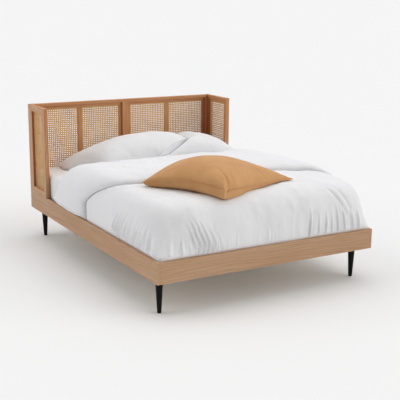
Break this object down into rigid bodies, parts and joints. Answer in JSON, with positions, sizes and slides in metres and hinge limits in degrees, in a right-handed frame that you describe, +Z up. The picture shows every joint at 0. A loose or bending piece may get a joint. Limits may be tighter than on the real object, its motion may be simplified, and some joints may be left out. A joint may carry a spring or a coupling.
{
  "type": "double bed",
  "caption": "Low oak double bed with a cane-panelled headboard and side wings on tapered black legs, made up with mattress, duvet, pillows and cushion.",
  "frame": {"origin": "on the floor, under the middle of the bed's outline", "axes": "+X across the bed, to the right when seen from the foot; +Y towards the headboard; +Z up"},
  "size_m": [1.47, 1.975, 0.94],
  "materials": {
    "oak": "light oak, matt lacquer",
    "oak_surround": "oak, matt lacquer, warmer in the shade of the surround",
    "pine": "plain softwood, unfinished",
    "black_lacquer": "black satin lacquer on turned wood",
    "zinc_steel": "zinc-plated steel",
    "level_foot": "black plastic foot on a steel stud",
    "cane": "natural woven cane webbing",
    "white_cotton": "washed white cotton",
    "mattress_cover": "quilted cover",
    "camel_linen": "washed camel linen"
  },
  "bodies": {
    "bed": {"beam_hanger_foot": "zinc_steel", "beam_hanger_head": "zinc_steel", "centre_beam": "pine", "corner_block_foot_left": "pine", "corner_block_foot_right": "pine", "corner_block_head_left": "pine", "corner_block_head_right": "pine", "cushion": "camel_linen", "duvet": "white_cotton", "fitted_sheet": "white_cotton", "foot_rail": "oak", "head_rail": "oak", "headboard_bottom_rail": "oak_surround", "headboard_cane_left_inner": "cane", "headboard_cane_left_outer": "cane", "headboard_cane_right_inner": "cane", "headboard_cane_right_outer": "cane", "headboard_centre_stile": "oak_surround", "headboard_mullion_left": "oak_surround", "headboard_mullion_right": "oak_surround", "headboard_post_left": "oak_surround", "headboard_post_right": "oak_surround", "headboard_top_rail": "oak_surround", "leg_foot_left": "black_lacquer", "leg_foot_right": "black_lacquer", "leg_head_left": "black_lacquer", "leg_head_right": "black_lacquer", "mattress": "mattress_cover", "pillow_left": "white_cotton", "pillow_right": "white_cotton", "side_rail_left": "oak", "side_rail_right": "oak", "slat_01": "pine", "slat_02": "pine", "slat_03": "pine", "slat_04": "pine", "slat_05": "pine", "slat_06": "pine", "slat_07": "pine", "slat_08": "pine", "slat_09": "pine", "slat_10": "pine", "slat_11": "pine", "slat_12": "pine", "slat_13": "pine", "slat_cleat_left": "pine", "slat_cleat_right": "pine", "support_leg": "zinc_steel", "wing_bottom_rail_left": "oak_surround", "wing_bottom_rail_right": "oak_surround", "wing_cane_left": "cane", "wing_cane_right": "cane", "wing_front_stile_left": "oak_surround", "wing_front_stile_right": "oak_surround", "wing_rear_stile_left": "oak_surround", "wing_rear_stile_right": "oak_surround", "wing_top_rail_left": "oak_surround", "wing_top_rail_right": "oak_surround"},
    "levelling_foot": {"levelling_foot": "level_foot"}
  },
  "joints": [
    {"name": "levelling_foot_screw", "type": "slide", "parent": "bed", "child": "levelling_foot", "axis": [0, 0, 1], "range_m": [-0.01, 0.01]}
  ]
}
